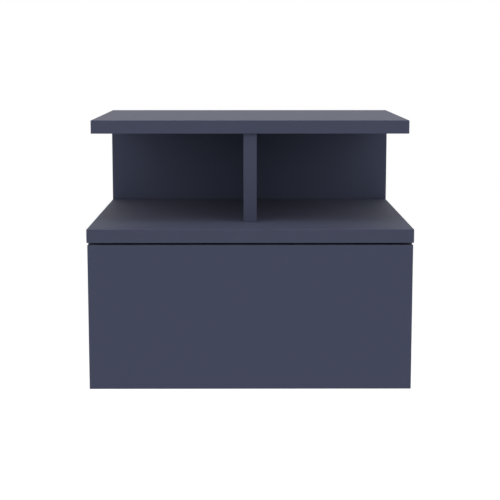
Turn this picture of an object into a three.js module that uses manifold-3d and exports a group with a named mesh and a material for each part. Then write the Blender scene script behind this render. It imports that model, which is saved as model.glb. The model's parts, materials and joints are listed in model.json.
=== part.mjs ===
// Floating nightstand: a wall-hung cabinet of melamine-faced boards with two open bays over one drawer.
// Millimetres. X runs to the right, Y towards the wall and Z up.
// The origin lies in the wall plane, midway between the two keyhole hangers, at the height of their screws.

import * as THREE from "three";
import { mergeVertices } from "three/addons/utils/BufferGeometryUtils.js";
import Module from "manifold-3d";

const wasm = await Module();
wasm.setup();

// Overall size and boards
const boardThickness = 18;
const cabinetWidth = 430;
const cabinetDepth = 350;
const topBoardSetback = 65;
const bayHeight = 121;
const dividerSetback = 6;
const hangerDrop = 40;

// Drawer front
const frontReveal = 2.75;
const frontSideReveal = 1;
const frontHeight = 194;
const fingerOverhang = 12;
const bumperThickness = 1.5;
const bumperRadius = 4;
const bumperDrop = 20;

// Drawer box
const drawerWall = 12;
const drawerRearClearance = 14;
const drawerHeight = 130;
const drawerFloorClearance = 16;
const drawerBottomThickness = 3;
const grooveDepth = 6;
const groovePlay = 0.25;
const grooveEndPlay = 0.5;
const grooveHeightUp = 10;

// Telescopic runners
const runnerThickness = 12.75;
const runnerHeight = 45;
const runnerSetback = 2;
const runnerRearClearance = 10.5;
const railWall = 1.25;
const railBend = 0.5;
const railLip = 3;
const cabinetRailTipSetback = 3;
const middleRailTipSetback = 2.25;
const outerCageSpace = 1.25;
const innerCageSpace = 1.5;
const outerBallRadius = 2;
const innerBallRadius = 1.6;
const ballPlay = 0.15;
const cageWall = 0.5;
const cageTipPlay = 0.5;
const stopReach = 4;
const stopHalfHeight = 5;
const stopPlay = 0.25;
const cageLength = 140;
const cageEndMargin = 10;
const railScrewHoleRadius = 2.25;
const railAccessHoleRadius = 4;
const ballsPerRow = 6;
const railHoleShares = [0.12, 0.5, 0.88];

// Cam fittings: the larger ones hold the carcass, the smaller ones the drawer box
const carcassCam = {
  camRadius: 7.5,
  camDepth: 13,
  boltRadius: 3.5,
  edgeDistance: 24,
  mateDepth: 11,
};
const drawerCam = {
  camRadius: 6,
  camDepth: 9.75,
  boltRadius: 2.75,
  edgeDistance: 24,
  mateDepth: 11,
};
const camSink = 0.25;
const fitClearance = 0.3;
const backCamInset = 100;
const sideCamInset = 55;
const drawerCamDrop = 20;
const drawerCamRise = 30;

// Dowels
const dowelRadius = 4;
const dowelLength = 30;
const dowelMateDepth = 11;
const backDowelInset = 25;
const dividerDowelInset = 40;

// Connecting screw of the divider
const dividerScrew = {
  headRadius: 5,
  headHeight: 4,
  shankRadius: 3.25,
  length: 50,
  tipHeight: 4,
};

// Keyhole hangers
const hangerInset = 50;
const hangerPlateThickness = 2;
const hangerPlateWidth = 24;
const hangerPlateAbove = 20;
const hangerPlateBelow = 32;
const hangerPlateCorner = 4;
const hangerSink = 0.25;
const keyholeEntryRadius = 5;
const keyholeSlotRadius = 2.6;
const keyholeDrop = 12;
const hangerScrewHoleRadius = 2.25;
const hangerScrewInset = 7;
const headPocketRadius = 6.5;
const headPocketDepth = 9;

// How far every cut runs past the face that it opens
const cutOverrun = 1;

// Facets of round features
const camSides = 16;
const boltSides = 8;
const dowelSides = 10;
const holeSides = 10;
const ballSides = 6;
const ballRings = 4;
const arcSegments = 3;
const bendSegments = 2;

// Places worked out from the sizes above
const halfWidth = cabinetWidth / 2;
const frontPlane = -cabinetDepth;
const bayTop = hangerDrop;
const shelfTop = bayTop - bayHeight;
const shelfUnderside = shelfTop - boardThickness;
const frontTop = shelfUnderside - frontReveal;
const frontBottom = frontTop - frontHeight;
const carcassBottom = frontBottom + fingerOverhang;
const carcassFront = frontPlane + boardThickness + bumperThickness;
const innerHalfWidth = halfWidth - boardThickness;
const bottomPanelTop = carcassBottom + boardThickness;
const drawerBoxFront = frontPlane + boardThickness;
const drawerBoxRear = -boardThickness - drawerRearClearance;
const drawerBoxBottom = bottomPanelTop + drawerFloorClearance;
const drawerBoxTop = drawerBoxBottom + drawerHeight;
const drawerHalfWidth = innerHalfWidth - runnerThickness;
const grooveBottom = drawerBoxBottom + grooveHeightUp;
const grooveTop = grooveBottom + drawerBottomThickness + groovePlay;
const grooveHalfWidth = drawerHalfWidth - drawerWall + grooveDepth;
const runnerAxisHeight = (drawerBoxBottom + drawerBoxTop) / 2;
const runnerRear = -boardThickness - runnerRearClearance;
const runnerLength = runnerRear - carcassFront - runnerSetback;

const right = new THREE.Vector3(1, 0, 0);
const rear = new THREE.Vector3(0, 1, 0);
const up = new THREE.Vector3(0, 0, 1);
const left = right.clone().negate();
const front = rear.clone().negate();
const down = up.clone().negate();
const sides = [
  { word: "left", sign: -1, outward: left, inward: right },
  { word: "right", sign: 1, outward: right, inward: left },
];

// Materials
function melamine() {
  return new THREE.MeshStandardMaterial({ color: 0x424658, roughness: 0.55, metalness: 0 });
}

function drawerBoard() {
  return new THREE.MeshStandardMaterial({ color: 0x4a4e5c, roughness: 0.6, metalness: 0 });
}

function hardboard() {
  return new THREE.MeshStandardMaterial({ color: 0x565a66, roughness: 0.7, metalness: 0 });
}

function zincSteel() {
  return new THREE.MeshStandardMaterial({ color: 0xb9bcc0, roughness: 0.35, metalness: 1 });
}

function camZinc() {
  return new THREE.MeshStandardMaterial({ color: 0x9fa3a8, roughness: 0.45, metalness: 1 });
}

function cageSteel() {
  return new THREE.MeshStandardMaterial({ color: 0x8d9096, roughness: 0.4, metalness: 1 });
}

function beech() {
  return new THREE.MeshStandardMaterial({ color: 0xd3b083, roughness: 0.75, metalness: 0 });
}

function bumperRubber() {
  return new THREE.MeshStandardMaterial({ color: 0x2b2c30, roughness: 0.8, metalness: 0 });
}

// Solids
function solidFrom(geometry) {
  const bare = geometry.clone();
  bare.deleteAttribute("normal");
  bare.deleteAttribute("uv");
  const merged = mergeVertices(bare);
  return new wasm.Manifold(
    new wasm.Mesh({
      numProp: 3,
      vertProperties: Float32Array.from(merged.attributes.position.array),
      triVerts: Uint32Array.from(merged.index.array),
    }),
  );
}

function geometryFrom(solid) {
  const mesh = solid.getMesh();
  const geometry = new THREE.BufferGeometry();
  geometry.setAttribute("position", new THREE.BufferAttribute(mesh.vertProperties, mesh.numProp));
  geometry.setIndex(new THREE.BufferAttribute(mesh.triVerts, 1));
  geometry.computeVertexNormals();
  return geometry;
}

function blockBetween(low, high) {
  const size = high.clone().sub(low);
  const middle = low.clone().lerp(high, 0.5);
  const geometry = new THREE.BoxGeometry(size.x, size.y, size.z);
  geometry.translate(middle.x, middle.y, middle.z);
  return solidFrom(geometry);
}

function rodBetween(start, end, radius, facets) {
  const along = end.clone().sub(start);
  const middle = start.clone().lerp(end, 0.5);
  const geometry = new THREE.CylinderGeometry(radius, radius, along.length(), facets);
  geometry.applyQuaternion(new THREE.Quaternion().setFromUnitVectors(rear, along.normalize()));
  geometry.translate(middle.x, middle.y, middle.z);
  return solidFrom(geometry);
}

function stepAlong(start, direction, distance) {
  return start.clone().addScaledVector(direction, distance);
}

// A piece keeps its shape about its own anchor, and its mesh stands at that anchor.
function placedMesh(name, solid, material, anchor) {
  const geometry = geometryFrom(solid);
  geometry.translate(-anchor.x, -anchor.y, -anchor.z);
  const mesh = new THREE.Mesh(geometry, material);
  mesh.name = name;
  mesh.position.copy(anchor);
  return mesh;
}

function boardMesh(name, low, high, material, cuts) {
  let solid = blockBetween(low, high);
  for (const cut of cuts) {
    solid = solid.subtract(cut);
  }
  return placedMesh(name, solid, material, low.clone().lerp(high, 0.5));
}

// A cam housing set into a board's face, and the bolt it grips, which runs through that board's edge
// into the next board. The centre is where the two axes cross, in the middle of the board's thickness.
function camFitting(name, size, thickness, centre, face, reach) {
  const halfThickness = thickness / 2;
  const shape = (clearance, outerEnd) => {
    const housing = rodBetween(
      stepAlong(centre, face, halfThickness - size.camDepth - clearance),
      stepAlong(centre, face, outerEnd),
      size.camRadius + clearance,
      camSides,
    );
    const bolt = rodBetween(
      centre,
      stepAlong(centre, reach, size.edgeDistance + size.mateDepth + clearance),
      size.boltRadius + clearance,
      boltSides,
    );
    return housing.add(bolt);
  };
  return {
    name,
    centre,
    material: camZinc,
    body: shape(0, halfThickness - camSink),
    cut: shape(fitClearance, halfThickness + cutOverrun),
  };
}

// A dowel across a joint. The point given lies in the joint's plane, and mate points into the board
// that takes the shorter end.
function dowel(name, jointPoint, mate) {
  const mateEnd = stepAlong(jointPoint, mate, dowelMateDepth);
  const deepEnd = stepAlong(jointPoint, mate, dowelMateDepth - dowelLength);
  return {
    name,
    centre: jointPoint,
    material: beech,
    body: rodBetween(deepEnd, mateEnd, dowelRadius, dowelSides),
    cut: rodBetween(
      stepAlong(deepEnd, mate, -fitClearance),
      stepAlong(mateEnd, mate, fitClearance),
      dowelRadius + fitClearance,
      dowelSides,
    ),
  };
}

// Fittings of the upper back panel, which the top board lies on and the shelf board carries
function backPanelFittings() {
  const midDepth = -boardThickness / 2;
  return sides.flatMap((side) => {
    const camX = side.sign * (halfWidth - backCamInset);
    const dowelX = side.sign * (halfWidth - backDowelInset);
    return [
      camFitting(
        `${side.word}_top_board_cam`,
        carcassCam,
        boardThickness,
        new THREE.Vector3(camX, midDepth, bayTop - carcassCam.edgeDistance),
        rear,
        up,
      ),
      camFitting(
        `${side.word}_back_to_shelf_cam`,
        carcassCam,
        boardThickness,
        new THREE.Vector3(camX, midDepth, shelfTop + carcassCam.edgeDistance),
        rear,
        down,
      ),
      dowel(`${side.word}_top_board_dowel`, new THREE.Vector3(dowelX, midDepth, bayTop), up),
      dowel(`${side.word}_back_to_shelf_dowel`, new THREE.Vector3(dowelX, midDepth, shelfTop), down),
    ];
  });
}

// Dowels of the divider, which stands between the shelf board and the top board
function dividerFittings() {
  const ends = [
    { word: "front", y: dividerFront + dividerDowelInset },
    { word: "rear", y: -boardThickness - dividerDowelInset },
  ];
  return ends.flatMap((end) => [
    dowel(`divider_top_${end.word}_dowel`, new THREE.Vector3(0, end.y, bayTop), up),
    dowel(`divider_shelf_${end.word}_dowel`, new THREE.Vector3(0, end.y, shelfTop), down),
  ]);
}

// Fittings that hang the side panels under the shelf board
function sidePanelFittings() {
  const ends = [
    { word: "front", y: carcassFront + sideCamInset },
    { word: "rear", y: -sideCamInset },
  ];
  return sides.flatMap((side) => {
    const midX = side.sign * (halfWidth - boardThickness / 2);
    const cams = ends.map((end) =>
      camFitting(
        `${side.word}_${end.word}_shelf_cam`,
        carcassCam,
        boardThickness,
        new THREE.Vector3(midX, end.y, shelfUnderside - carcassCam.edgeDistance),
        side.inward,
        up,
      ),
    );
    const pin = dowel(
      `${side.word}_side_to_shelf_dowel`,
      new THREE.Vector3(midX, carcassFront / 2, shelfUnderside),
      up,
    );
    return [...cams, pin];
  });
}

// Fittings at both ends of the bottom panel and of the lower back panel
function lowerCarcassFittings() {
  const midHeight = carcassBottom + boardThickness / 2;
  const ends = [
    { word: "front", y: carcassFront + sideCamInset },
    { word: "rear", y: -sideCamInset },
  ];
  return sides.flatMap((side) => {
    const camX = side.sign * (innerHalfWidth - carcassCam.edgeDistance);
    const cams = ends.map((end) =>
      camFitting(
        `${side.word}_${end.word}_bottom_cam`,
        carcassCam,
        boardThickness,
        new THREE.Vector3(camX, end.y, midHeight),
        down,
        side.outward,
      ),
    );
    const backCam = camFitting(
      `${side.word}_lower_back_cam`,
      carcassCam,
      boardThickness,
      new THREE.Vector3(camX, -boardThickness / 2, (bottomPanelTop + shelfUnderside) / 2),
      rear,
      side.outward,
    );
    const pin = dowel(
      `${side.word}_bottom_dowel`,
      new THREE.Vector3(side.sign * innerHalfWidth, carcassFront / 2, midHeight),
      side.outward,
    );
    return [...cams, backCam, pin];
  });
}

// Fittings that pull the drawer front on to the ends of the drawer sides
function drawerFittings() {
  const heights = [
    { word: "upper", z: drawerBoxTop - drawerCamDrop },
    { word: "lower", z: drawerBoxBottom + drawerCamRise },
  ];
  return sides.flatMap((side) =>
    heights.map((height) =>
      camFitting(
        `${side.word}_${height.word}_drawer_cam`,
        drawerCam,
        drawerWall,
        new THREE.Vector3(
          side.sign * (drawerHalfWidth - drawerWall / 2),
          drawerBoxFront + drawerCam.edgeDistance,
          height.z,
        ),
        side.outward,
        front,
      ),
    ),
  );
}

// The countersunk connecting screw that runs through the upper back panel into the divider's rear edge
function connectingScrew() {
  const height = (bayTop + shelfTop) / 2;
  const shape = (clearance, headEnd) => {
    const profile = [
      new THREE.Vector2(0, headEnd),
      new THREE.Vector2(dividerScrew.headRadius + clearance, headEnd),
      new THREE.Vector2(dividerScrew.headRadius + clearance, -camSink),
      new THREE.Vector2(dividerScrew.shankRadius + clearance, -camSink - dividerScrew.headHeight),
      new THREE.Vector2(dividerScrew.shankRadius + clearance, dividerScrew.tipHeight - dividerScrew.length),
      new THREE.Vector2(0, -dividerScrew.length - clearance),
    ];
    const geometry = new THREE.LatheGeometry(profile.reverse(), holeSides);
    geometry.translate(0, 0, height);
    return solidFrom(geometry);
  };
  return {
    name: "divider_connecting_screw",
    centre: new THREE.Vector3(0, 0, height),
    material: zincSteel,
    body: shape(0, -camSink / 2),
    cut: shape(fitClearance, cutOverrun),
  };
}

const dividerFront = frontPlane + topBoardSetback + dividerSetback;
const backFittings = backPanelFittings();
const dividerDowels = dividerFittings();
const sideFittings = sidePanelFittings();
const lowerFittings = lowerCarcassFittings();
const drawerCams = drawerFittings();
const backScrew = connectingScrew();

function cutsOf(...groups) {
  return groups.flat().map((fitting) => fitting.cut);
}

// Keyhole hangers. The outline is drawn with X across and Y up, about the screw's resting place.
function roundedRectangle(halfX, lowY, highY, corner) {
  const shape = new THREE.Shape();
  shape.absarc(halfX - corner, highY - corner, corner, 0, Math.PI / 2);
  shape.absarc(corner - halfX, highY - corner, corner, Math.PI / 2, Math.PI);
  shape.absarc(corner - halfX, lowY + corner, corner, Math.PI, Math.PI * 1.5);
  shape.absarc(halfX - corner, lowY + corner, corner, Math.PI * 1.5, Math.PI * 2);
  shape.closePath();
  return shape;
}

function keyholePath() {
  const neck = Math.asin(keyholeSlotRadius / keyholeEntryRadius);
  const path = new THREE.Path();
  path.absarc(0, 0, keyholeSlotRadius, 0, Math.PI);
  path.absarc(0, -keyholeDrop, keyholeEntryRadius, Math.PI / 2 + neck, Math.PI * 1.5);
  path.absarc(0, -keyholeDrop, keyholeEntryRadius, Math.PI * 1.5, Math.PI * 2.5 - neck);
  path.closePath();
  return path;
}

function roundPath(y, radius) {
  const path = new THREE.Path();
  path.absarc(0, y, radius, 0, Math.PI);
  path.absarc(0, y, radius, Math.PI, Math.PI * 2);
  return path;
}

// An outline in the wall plane, made solid between two depths in front of that plane
function wallPlaneSolid(shape, x, nearDepth, farDepth) {
  const geometry = new THREE.ExtrudeGeometry(shape, {
    depth: farDepth - nearDepth,
    bevelEnabled: false,
    curveSegments: arcSegments,
  });
  geometry.rotateX(Math.PI / 2);
  geometry.translate(x, -nearDepth, 0);
  return solidFrom(geometry);
}

function hangerPlate(x) {
  const shape = roundedRectangle(
    hangerPlateWidth / 2,
    -hangerPlateBelow,
    hangerPlateAbove,
    hangerPlateCorner,
  );
  shape.holes.push(
    keyholePath(),
    roundPath(hangerPlateAbove - hangerScrewInset, hangerScrewHoleRadius),
    roundPath(hangerScrewInset - hangerPlateBelow, hangerScrewHoleRadius),
  );
  return wallPlaneSolid(shape, x, hangerSink, hangerSink + hangerPlateThickness);
}

function hangerRecess(x) {
  const seat = hangerSink + hangerPlateThickness;
  const plateBed = roundedRectangle(
    hangerPlateWidth / 2 + fitClearance,
    -hangerPlateBelow - fitClearance,
    hangerPlateAbove + fitClearance,
    hangerPlateCorner + fitClearance,
  );
  const headPocket = roundedRectangle(
    headPocketRadius,
    -keyholeDrop - headPocketRadius,
    headPocketRadius,
    headPocketRadius,
  );
  const bed = wallPlaneSolid(plateBed, x, -cutOverrun, seat);
  const pocket = wallPlaneSolid(headPocket, x, -cutOverrun, seat + headPocketDepth);
  return bed.add(pocket);
}

function hangerPlaces() {
  return sides.map((side) => ({ word: side.word, x: side.sign * (halfWidth - hangerInset) }));
}

// Carcass boards
function topBoard() {
  return boardMesh(
    "top_board",
    new THREE.Vector3(-halfWidth, frontPlane + topBoardSetback, bayTop),
    new THREE.Vector3(halfWidth, 0, bayTop + boardThickness),
    melamine(),
    cutsOf(backFittings, dividerDowels),
  );
}

function upperBackPanel() {
  const recesses = hangerPlaces().map((place) => hangerRecess(place.x));
  return boardMesh(
    "upper_back_panel",
    new THREE.Vector3(-halfWidth, -boardThickness, shelfTop),
    new THREE.Vector3(halfWidth, 0, bayTop),
    melamine(),
    [...cutsOf(backFittings, [backScrew]), ...recesses],
  );
}

function divider() {
  return boardMesh(
    "divider",
    new THREE.Vector3(-boardThickness / 2, dividerFront, shelfTop),
    new THREE.Vector3(boardThickness / 2, -boardThickness, bayTop),
    melamine(),
    cutsOf(dividerDowels, [backScrew]),
  );
}

function shelfBoard() {
  return boardMesh(
    "shelf_board",
    new THREE.Vector3(-halfWidth, frontPlane, shelfUnderside),
    new THREE.Vector3(halfWidth, 0, shelfTop),
    melamine(),
    cutsOf(backFittings, dividerDowels, sideFittings),
  );
}

function sidePanel(side) {
  const inner = side.sign * innerHalfWidth;
  const outer = side.sign * halfWidth;
  return boardMesh(
    `${side.word}_side_panel`,
    new THREE.Vector3(Math.min(inner, outer), carcassFront, carcassBottom),
    new THREE.Vector3(Math.max(inner, outer), 0, shelfUnderside),
    melamine(),
    cutsOf(sideFittings, lowerFittings),
  );
}

function bottomPanel() {
  return boardMesh(
    "bottom_panel",
    new THREE.Vector3(-innerHalfWidth, carcassFront, carcassBottom),
    new THREE.Vector3(innerHalfWidth, 0, bottomPanelTop),
    melamine(),
    cutsOf(lowerFittings),
  );
}

function lowerBackPanel() {
  return boardMesh(
    "lower_back_panel",
    new THREE.Vector3(-innerHalfWidth, -boardThickness, bottomPanelTop),
    new THREE.Vector3(innerHalfWidth, 0, shelfUnderside),
    melamine(),
    cutsOf(lowerFittings),
  );
}

// Drawer box
function drawerFront() {
  const groove = blockBetween(
    new THREE.Vector3(-grooveHalfWidth, drawerBoxFront - grooveDepth, grooveBottom),
    new THREE.Vector3(grooveHalfWidth, drawerBoxFront + cutOverrun, grooveTop),
  );
  return boardMesh(
    "drawer_front",
    new THREE.Vector3(frontSideReveal - halfWidth, frontPlane, frontBottom),
    new THREE.Vector3(halfWidth - frontSideReveal, drawerBoxFront, frontTop),
    melamine(),
    [groove, ...cutsOf(drawerCams)],
  );
}

function drawerSide(side) {
  const outer = side.sign * drawerHalfWidth;
  const inner = side.sign * (drawerHalfWidth - drawerWall);
  const grooveWall = side.sign * grooveHalfWidth;
  const grooveMouth = inner - side.sign * cutOverrun;
  const groove = blockBetween(
    new THREE.Vector3(Math.min(grooveMouth, grooveWall), drawerBoxFront - cutOverrun, grooveBottom),
    new THREE.Vector3(Math.max(grooveMouth, grooveWall), drawerBoxRear + cutOverrun, grooveTop),
  );
  return boardMesh(
    `drawer_${side.word}_side`,
    new THREE.Vector3(Math.min(inner, outer), drawerBoxFront, drawerBoxBottom),
    new THREE.Vector3(Math.max(inner, outer), drawerBoxRear, drawerBoxTop),
    drawerBoard(),
    [groove, ...cutsOf(drawerCams)],
  );
}

function drawerBack() {
  const innerHalf = drawerHalfWidth - drawerWall;
  return boardMesh(
    "drawer_back",
    new THREE.Vector3(-innerHalf, drawerBoxRear - drawerWall, grooveBottom + drawerBottomThickness),
    new THREE.Vector3(innerHalf, drawerBoxRear, drawerBoxTop),
    drawerBoard(),
    [],
  );
}

function drawerBottom() {
  const halfX = grooveHalfWidth - grooveEndPlay;
  return boardMesh(
    "drawer_bottom",
    new THREE.Vector3(-halfX, drawerBoxFront - grooveDepth + grooveEndPlay, grooveBottom),
    new THREE.Vector3(halfX, drawerBoxRear, grooveBottom + drawerBottomThickness),
    hardboard(),
    [],
  );
}

function bumper(side) {
  const anchor = new THREE.Vector3(
    side.sign * (halfWidth - boardThickness / 2),
    drawerBoxFront,
    shelfUnderside - bumperDrop,
  );
  const disc = rodBetween(anchor, stepAlong(anchor, rear, bumperThickness), bumperRadius, camSides);
  return placedMesh(`${side.word}_bumper`, disc, bumperRubber(), anchor);
}

// Runner rails are bent from steel strip. Their sections have X from the side panel towards the drawer
// and Y up, and each corner says how far back from it the bend starts.
function bentSection(corners) {
  const shape = new THREE.Shape();
  corners.forEach((corner, index) => {
    const point = new THREE.Vector2(corner.x, corner.y);
    const before = corners.at(index - 1);
    const after = corners[(index + 1) % corners.length];
    const stepTo = (other) =>
      new THREE.Vector2(other.x, other.y).sub(point).setLength(corner.bend).add(point);
    const start = stepTo(before);
    const end = stepTo(after);
    if (index === 0) {
      shape.moveTo(start.x, start.y);
    } else {
      shape.lineTo(start.x, start.y);
    }
    if (corner.bend > 0) {
      shape.quadraticCurveTo(point.x, point.y, end.x, end.y);
    }
  });
  shape.closePath();
  return shape;
}

// A channel's corners, drawn for the upper half and mirrored below. The web stands at webX, and the
// flanges run to tipX, where lips turn in to keep the balls.
function channelCorners(webX, tipX, halfHeight, wall, lip) {
  const towardsTip = Math.sign(tipX - webX);
  const outerBend = wall + railBend;
  const webInside = webX + towardsTip * wall;
  const flangeInside = halfHeight - wall;
  const lipInside = tipX - towardsTip * wall;
  const flangeTip = [
    { x: tipX, y: flangeInside, bend: 0 },
    { x: tipX, y: halfHeight, bend: 0 },
  ];
  const lippedTip = [
    { x: lipInside, y: flangeInside, bend: railBend },
    { x: lipInside, y: halfHeight - lip, bend: 0 },
    { x: tipX, y: halfHeight - lip, bend: 0 },
    { x: tipX, y: halfHeight, bend: outerBend },
  ];
  const upper = [
    { x: webInside, y: flangeInside, bend: railBend },
    ...(lip > 0 ? lippedTip : flangeTip),
    { x: webX, y: halfHeight, bend: outerBend },
  ];
  const lower = upper.map((corner) => ({ x: corner.x, y: -corner.y, bend: corner.bend })).reverse();
  return [...upper, ...lower];
}

// Runner heights follow from the balls: each rail leaves the row of balls and its play to the next.
const cabinetRailHalfHeight = runnerHeight / 2;
const outerBallHeight = cabinetRailHalfHeight - railWall - ballPlay - outerBallRadius;
const middleRailHalfHeight = outerBallHeight - outerBallRadius - ballPlay;
const innerBallHeight = middleRailHalfHeight - railWall - ballPlay - innerBallRadius;
const drawerRailHalfHeight = innerBallHeight - innerBallRadius - ballPlay;
const cabinetRailTip = runnerThickness - cabinetRailTipSetback;
const middleRailWeb = railWall + outerCageSpace;
const middleRailTip = runnerThickness - middleRailTipSetback;
const drawerRailTip = middleRailWeb + railWall + innerCageSpace;

// Each rail rests, when the drawer is shut, against a stop bent out of the web of the rail outside it.
const middleRailStart = railWall + stopPlay;
const drawerRailStart = middleRailStart + railWall + stopPlay;

function extrudedSection(shape, length) {
  const geometry = new THREE.ExtrudeGeometry(shape, {
    depth: length,
    bevelEnabled: false,
    curveSegments: bendSegments,
  });
  return solidFrom(geometry);
}

function mirroredSection(corners, inwardSign) {
  return bentSection(corners.map((corner) => ({ ...corner, x: corner.x * inwardSign })));
}

function railHoles(inwardSign, start, webLow, webHigh, radius) {
  return railHoleShares.map((share) => {
    const along = share * runnerLength - start;
    return rodBetween(
      new THREE.Vector3(inwardSign * (webLow - cutOverrun), 0, along),
      new THREE.Vector3(inwardSign * (webHigh + cutOverrun), 0, along),
      radius,
      holeSides,
    );
  });
}

function railSolid(corners, inwardSign, start, holes) {
  let solid = extrudedSection(mirroredSection(corners, inwardSign), runnerLength - start);
  for (const hole of holes) {
    solid = solid.subtract(hole);
  }
  return solid;
}

// The stop stands up from the inside of a web, at the rail's rear end.
function railStop(inwardSign, webX, halfHeight) {
  const nearX = inwardSign * (webX + railWall / 2);
  const farX = inwardSign * (webX + railWall + stopReach);
  return blockBetween(
    new THREE.Vector3(Math.min(nearX, farX), -halfHeight, 0),
    new THREE.Vector3(Math.max(nearX, farX), halfHeight, railWall),
  );
}

function cabinetRail(inwardSign) {
  const channel = railSolid(
    channelCorners(0, cabinetRailTip, cabinetRailHalfHeight, railWall, railLip),
    inwardSign,
    0,
    railHoles(inwardSign, 0, 0, railWall, railScrewHoleRadius),
  );
  return channel.add(railStop(inwardSign, 0, stopHalfHeight));
}

function middleRail(inwardSign) {
  const channel = railSolid(
    channelCorners(middleRailWeb, middleRailTip, middleRailHalfHeight, railWall, railLip),
    inwardSign,
    middleRailStart,
    railHoles(inwardSign, middleRailStart, middleRailWeb, middleRailWeb + railWall, railAccessHoleRadius),
  );
  return channel.add(railStop(inwardSign, middleRailWeb, drawerRailHalfHeight));
}

function drawerRail(inwardSign) {
  return railSolid(
    channelCorners(runnerThickness, drawerRailTip, drawerRailHalfHeight, railWall, 0),
    inwardSign,
    drawerRailStart,
    railHoles(inwardSign, drawerRailStart, runnerThickness - railWall, runnerThickness, railScrewHoleRadius),
  );
}

// A ball cage is one thin channel that holds an upper and a lower row of balls.
function ballCage(inwardSign, webX, tipX, ballX, ballHeight, ballRadius) {
  const halfHeight = ballHeight + cageWall / 2;
  const corners = [
    { x: webX + cageWall, y: halfHeight - cageWall, bend: 0 },
    { x: tipX, y: halfHeight - cageWall, bend: 0 },
    { x: tipX, y: halfHeight, bend: 0 },
    { x: webX, y: halfHeight, bend: 0 },
  ];
  const mirrored = corners.map((corner) => ({ ...corner, y: -corner.y })).reverse();
  let solid = extrudedSection(mirroredSection([...corners, ...mirrored], inwardSign), cageLength);
  const pitch = (cageLength - cageEndMargin * 2) / (ballsPerRow - 1);
  for (let index = 0; index < ballsPerRow; index += 1) {
    for (const row of [-1, 1]) {
      const ball = new THREE.SphereGeometry(ballRadius, ballSides, ballRings);
      ball.translate(inwardSign * ballX, row * ballHeight, cageEndMargin + index * pitch);
      solid = solid.add(solidFrom(ball));
    }
  }
  return solid;
}

function outerBallCage(inwardSign) {
  const lipFace = cabinetRailTip - railWall;
  return ballCage(
    inwardSign,
    railWall + (outerCageSpace - cageWall) / 2,
    lipFace - cageTipPlay,
    (middleRailWeb + lipFace) / 2,
    outerBallHeight,
    outerBallRadius,
  );
}

function innerBallCage(inwardSign) {
  const lipFace = middleRailTip - railWall;
  return ballCage(
    inwardSign,
    middleRailWeb + railWall + (innerCageSpace - cageWall) / 2,
    lipFace - cageTipPlay,
    (drawerRailTip + lipFace) / 2,
    innerBallHeight,
    innerBallRadius,
  );
}

// One runner stands in its own group, at the side panel's face. Its length runs from the rear to the front.
function runner(side) {
  const inwardSign = -side.sign;
  const group = new THREE.Group();
  group.position.set(side.sign * innerHalfWidth, runnerRear, runnerAxisHeight);
  group.rotation.x = Math.PI / 2;
  const cageStart = (runnerLength - cageLength) / 2;
  const pieces = [
    { word: "cabinet_rail", solid: cabinetRail(inwardSign), material: zincSteel(), start: 0 },
    { word: "middle_rail", solid: middleRail(inwardSign), material: zincSteel(), start: middleRailStart },
    { word: "drawer_rail", solid: drawerRail(inwardSign), material: zincSteel(), start: drawerRailStart },
    { word: "outer_ball_cage", solid: outerBallCage(inwardSign), material: cageSteel(), start: cageStart },
    { word: "inner_ball_cage", solid: innerBallCage(inwardSign), material: cageSteel(), start: cageStart },
  ];
  for (const piece of pieces) {
    const mesh = new THREE.Mesh(geometryFrom(piece.solid), piece.material);
    mesh.name = `${side.word}_${piece.word}`;
    mesh.position.z = piece.start;
    group.add(mesh);
  }
  return group;
}

function fittingMeshes(...groups) {
  return groups
    .flat()
    .map((fitting) => placedMesh(fitting.name, fitting.body, fitting.material(), fitting.centre));
}

function carcass() {
  const group = new THREE.Group();
  group.add(topBoard(), upperBackPanel(), divider(), shelfBoard(), bottomPanel(), lowerBackPanel());
  group.add(...sides.map(sidePanel), ...sides.map(bumper));
  group.add(...fittingMeshes(backFittings, dividerDowels, sideFittings, lowerFittings, [backScrew]));
  for (const place of hangerPlaces()) {
    const anchor = new THREE.Vector3(place.x, 0, 0);
    group.add(placedMesh(`${place.word}_hanger_plate`, hangerPlate(place.x), zincSteel(), anchor));
  }
  return group;
}

function drawer() {
  const group = new THREE.Group();
  group.add(drawerFront(), drawerBack(), drawerBottom(), ...sides.map(drawerSide));
  group.add(...fittingMeshes(drawerCams));
  return group;
}

const nightstand = new THREE.Group();
nightstand.add(carcass(), drawer(), ...sides.map(runner));

export default nightstand;
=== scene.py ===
import json
import math
from functools import partial

import bmesh
import bpy
from mathutils import Matrix, Vector


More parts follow.
